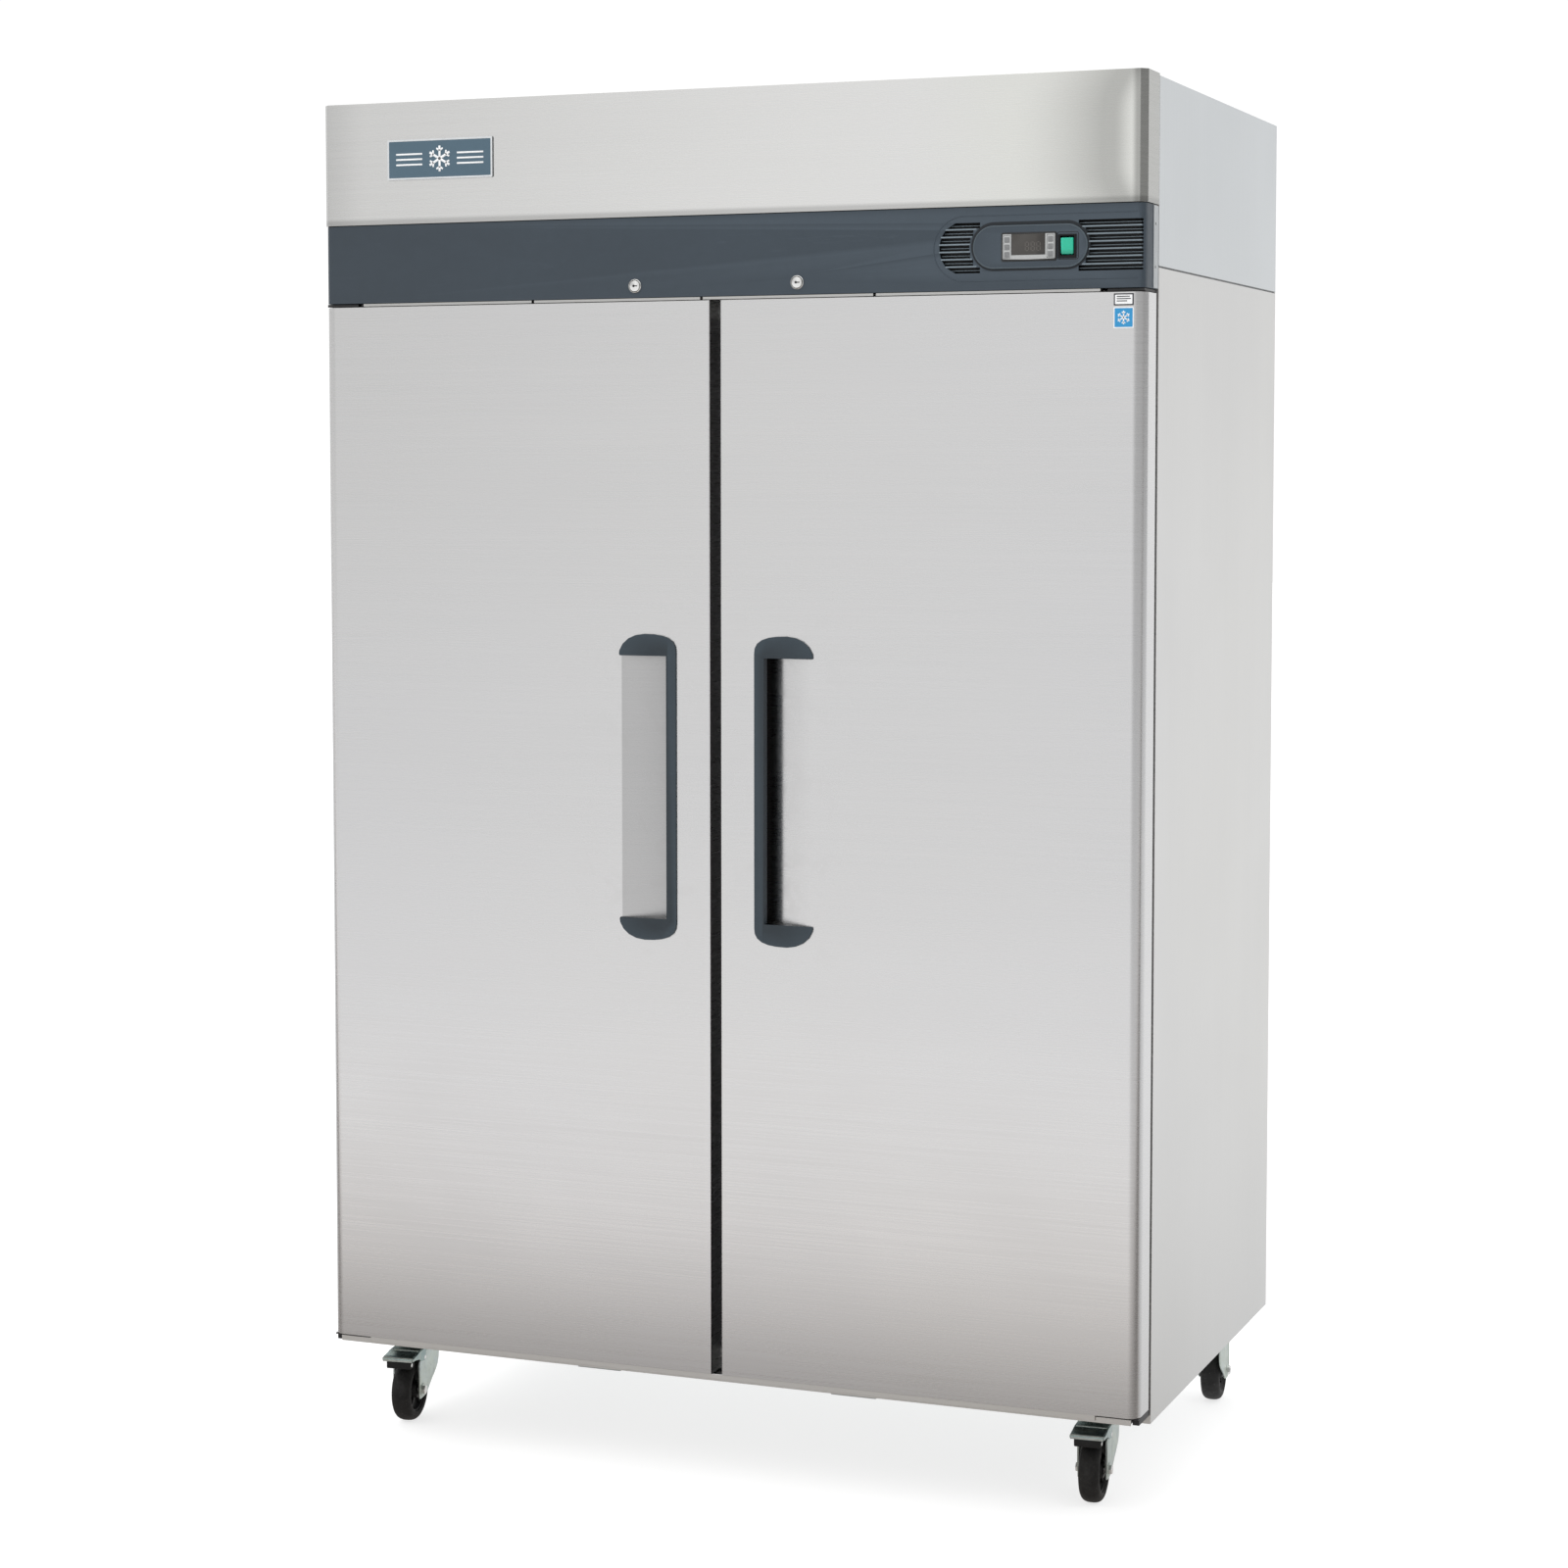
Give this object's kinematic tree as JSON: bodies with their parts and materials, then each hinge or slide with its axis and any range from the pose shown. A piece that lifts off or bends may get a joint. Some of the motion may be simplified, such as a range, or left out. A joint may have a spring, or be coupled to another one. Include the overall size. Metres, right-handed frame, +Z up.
{
  "type": "reach-in refrigerator",
  "caption": "Two-section upright stainless refrigerator with hinged solid doors, top-mounted condensing unit, shelves and swivel casters.",
  "frame": {"origin": "on the floor, under the middle of the refrigerator's bounding box", "axes": "+Z up; -Y is the front, where the doors open; +X is the user's right when facing the doors"},
  "size_m": [1.314, 0.81, 2.105],
  "materials": {
    "stainless_brushed": "satin",
    "stainless_inner": "satin",
    "zinc": "satin",
    "galvanised": "satin",
    "foam": "matte",
    "slate_plastic": "satin",
    "black_plastic": "satin",
    "grey_plastic": "satin",
    "green_plastic": "gloss",
    "white_plastic": "satin",
    "gasket_rubber": "matte",
    "tyre_rubber": "matte",
    "aluminium": "satin",
    "black_enamel": "satin",
    "chrome": "gloss"
  },
  "bodies": {
    "cabinet": {"outer_shell": "stainless_brushed", "foam_insulation": "foam", "inner_liner": "stainless_inner", "face_frame": "stainless_brushed", "shelf_rack_left": "stainless_inner", "shelf_rack_center": "stainless_inner", "shelf_rack_right": "stainless_inner", "compressor": "black_enamel", "condenser_coil": "aluminium", "condenser_fan_shroud": "black_enamel", "evaporator_housing": "white_plastic", "evaporator_coil": "aluminium", "electrical_box": "galvanised", "hood_front_panel": "stainless_brushed", "hood_shell": "stainless_brushed", "control_fascia": "slate_plastic", "controller_bezel": "grey_plastic", "switch_housing": "black_plastic", "badge_plate": "slate_plastic", "top_hinge_left": "black_enamel", "top_hinge_right": "black_enamel", "bottom_hinge_left": "black_enamel", "bottom_hinge_right": "black_enamel", "base_frame": "galvanised"},
    "door_left": {"door_left_skin": "stainless_brushed", "door_left_foam": "foam", "door_left_inner_panel": "stainless_inner", "door_left_gasket": "gasket_rubber", "door_left_handle": "slate_plastic"},
    "door_right": {"door_right_skin": "stainless_brushed", "door_right_foam": "foam", "door_right_inner_panel": "stainless_inner", "door_right_gasket": "gasket_rubber", "door_right_handle": "slate_plastic"},
    "lock_left": {"lock_plug_left": "chrome"},
    "lock_right": {"lock_plug_right": "chrome"},
    "controller_keys_left_body": {"controller_keys_left": "grey_plastic"},
    "controller_keys_right_body": {"controller_keys_right": "grey_plastic"},
    "rocker": {"rocker_switch": "green_plastic"},
    "condenser_fan_body": {"condenser_fan": "aluminium"},
    "evaporator_fan_left_body": {"evaporator_fan_left": "black_plastic"},
    "evaporator_fan_right_body": {"evaporator_fan_right": "black_plastic"},
    "door_switch_left": {"door_switch_plunger_left": "white_plastic"},
    "door_switch_right": {"door_switch_plunger_right": "white_plastic"},
    "shelf_left_lower_body": {"shelf_left_lower": "chrome"},
    "shelf_left_middle_body": {"shelf_left_middle": "chrome"},
    "shelf_left_upper_body": {"shelf_left_upper": "chrome"},
    "shelf_right_lower_body": {"shelf_right_lower": "chrome"},
    "shelf_right_middle_body": {"shelf_right_middle": "chrome"},
    "shelf_right_upper_body": {"shelf_right_upper": "chrome"},
    "caster_front_left_swivel_body": {"caster_front_left_fork": "zinc"},
    "caster_front_left_wheel_body": {"caster_front_left_wheel": "tyre_rubber"},
    "caster_front_left_brake_body": {"caster_front_left_brake": "zinc"},
    "caster_front_right_swivel_body": {"caster_front_right_fork": "zinc"},
    "caster_front_right_wheel_body": {"caster_front_right_wheel": "tyre_rubber"},
    "caster_front_right_brake_body": {"caster_front_right_brake": "zinc"},
    "caster_rear_left_swivel_body": {"caster_rear_left_fork": "zinc"},
    "caster_rear_left_wheel_body": {"caster_rear_left_wheel": "tyre_rubber"},
    "caster_rear_right_swivel_body": {"caster_rear_right_fork": "zinc"},
    "caster_rear_right_wheel_body": {"caster_rear_right_wheel": "tyre_rubber"}
  },
  "joints": [
    {"name": "door_left_hinge", "type": "hinge", "parent": "cabinet", "child": "door_left", "pos_m": [-0.64, -0.386, 0.985], "axis": [0, 0, -1], "range_deg": [0, 120]},
    {"name": "door_right_hinge", "type": "hinge", "parent": "cabinet", "child": "door_right", "pos_m": [0.64, -0.386, 0.985], "axis": [0, 0, 1], "range_deg": [0, 120]},
    {"name": "lock_left_turn", "type": "hinge", "parent": "cabinet", "child": "lock_left", "pos_m": [-0.13, -0.39, 1.8165], "axis": [0, 1, 0], "range_deg": [0, 90]},
    {"name": "lock_right_turn", "type": "hinge", "parent": "cabinet", "child": "lock_right", "pos_m": [0.13, -0.39, 1.8165], "axis": [0, 1, 0], "range_deg": [0, 90]},
    {"name": "controller_keys_left_press", "type": "slide", "parent": "cabinet", "child": "controller_keys_left_body", "axis": [0, 1, 0], "range_m": [0, 0.0005], "stiffness_N_per_m": 600},
    {"name": "controller_keys_right_press", "type": "slide", "parent": "cabinet", "child": "controller_keys_right_body", "axis": [0, 1, 0], "range_m": [0, 0.0005], "stiffness_N_per_m": 600},
    {"name": "rocker_tilt", "type": "hinge", "parent": "cabinet", "child": "rocker", "pos_m": [0.5408, -0.3955, 1.8593], "axis": [-1, 0, 0], "range_deg": [0, 12]},
    {"name": "condenser_fan_spin", "type": "hinge", "parent": "cabinet", "child": "condenser_fan_body", "pos_m": [0.4, -0.15, 1.9522], "axis": [0, 1, 0], "continuous": true},
    {"name": "evaporator_fan_left_spin", "type": "hinge", "parent": "cabinet", "child": "evaporator_fan_left_body", "pos_m": [-0.2, 0.086, 1.68], "axis": [0, 1, 0], "continuous": true},
    {"name": "evaporator_fan_right_spin", "type": "hinge", "parent": "cabinet", "child": "evaporator_fan_right_body", "pos_m": [0.2, 0.086, 1.68], "axis": [0, 1, 0], "continuous": true},
    {"name": "door_switch_left_press", "type": "slide", "parent": "cabinet", "child": "door_switch_left", "axis": [0, 1, 0], "range_m": [0, 0.004], "stiffness_N_per_m": 200},
    {"name": "door_switch_right_press", "type": "slide", "parent": "cabinet", "child": "door_switch_right", "axis": [0, 1, 0], "range_m": [0, 0.004], "stiffness_N_per_m": 200},
    {"name": "shelf_left_lower_lift", "type": "slide", "parent": "cabinet", "child": "shelf_left_lower_body", "axis": [0, 0, 1], "range_m": [0, 0.05]},
    {"name": "shelf_left_middle_lift", "type": "slide", "parent": "cabinet", "child": "shelf_left_middle_body", "axis": [0, 0, 1], "range_m": [0, 0.05]},
    {"name": "shelf_left_upper_lift", "type": "slide", "parent": "cabinet", "child": "shelf_left_upper_body", "axis": [0, 0, 1], "range_m": [0, 0.05]},
    {"name": "shelf_right_lower_lift", "type": "slide", "parent": "cabinet", "child": "shelf_right_lower_body", "axis": [0, 0, 1], "range_m": [0, 0.05]},
    {"name": "shelf_right_middle_lift", "type": "slide", "parent": "cabinet", "child": "shelf_right_middle_body", "axis": [0, 0, 1], "range_m": [0, 0.05]},
    {"name": "shelf_right_upper_lift", "type": "slide", "parent": "cabinet", "child": "shelf_right_upper_body", "axis": [0, 0, 1], "range_m": [0, 0.05]},
    {"name": "caster_front_left_swivel", "type": "hinge", "parent": "cabinet", "child": "caster_front_left_swivel_body", "pos_m": [-0.612, -0.205, 0.12], "axis": [0, 0, 1], "continuous": true},
    {"name": "caster_front_left_roll", "type": "hinge", "parent": "caster_front_left_swivel_body", "child": "caster_front_left_wheel_body", "pos_m": [-0.60774, -0.23974, 0.05], "axis": [0.9925, 0.1219, 0], "continuous": true},
    {"name": "caster_front_left_brake_press", "type": "hinge", "parent": "caster_front_left_swivel_body", "child": "caster_front_left_brake_body", "pos_m": [-0.60798, -0.23775, 0.104], "axis": [0.9925, 0.1219, 0], "range_deg": [0, 8]},
    {"name": "caster_front_right_swivel", "type": "hinge", "parent": "cabinet", "child": "caster_front_right_swivel_body", "pos_m": [0.545, -0.21, 0.12], "axis": [0, 0, 1], "continuous": true},
    {"name": "caster_front_right_roll", "type": "hinge", "parent": "caster_front_right_swivel_body", "child": "caster_front_right_wheel_body", "pos_m": [0.54744, -0.24491, 0.05], "axis": [0.9976, 0.0698, 0], "continuous": true},
    {"name": "caster_front_right_brake_press", "type": "hinge", "parent": "caster_front_right_swivel_body", "child": "caster_front_right_brake_body", "pos_m": [0.5473, -0.24292, 0.104], "axis": [0.9976, 0.0698, 0], "range_deg": [0, 8]},
    {"name": "caster_rear_left_swivel", "type": "hinge", "parent": "cabinet", "child": "caster_rear_left_swivel_body", "pos_m": [-0.585, 0.318, 0.12], "axis": [0, 0, 1], "continuous": true},
    {"name": "caster_rear_left_roll", "type": "hinge", "parent": "caster_rear_left_swivel_body", "child": "caster_rear_left_wheel_body", "pos_m": [-0.58074, 0.35274, 0.05], "axis": [-0.9925, 0.1219, 0], "continuous": true},
    {"name": "caster_rear_right_swivel", "type": "hinge", "parent": "cabinet", "child": "caster_rear_right_swivel_body", "pos_m": [0.585, 0.318, 0.12], "axis": [0, 0, 1], "continuous": true},
    {"name": "caster_rear_right_roll", "type": "hinge", "parent": "caster_rear_right_swivel_body", "child": "caster_rear_right_wheel_body", "pos_m": [0.58195, 0.35287, 0.05], "axis": [-0.9962, -0.0872, 0], "continuous": true}
  ]
}
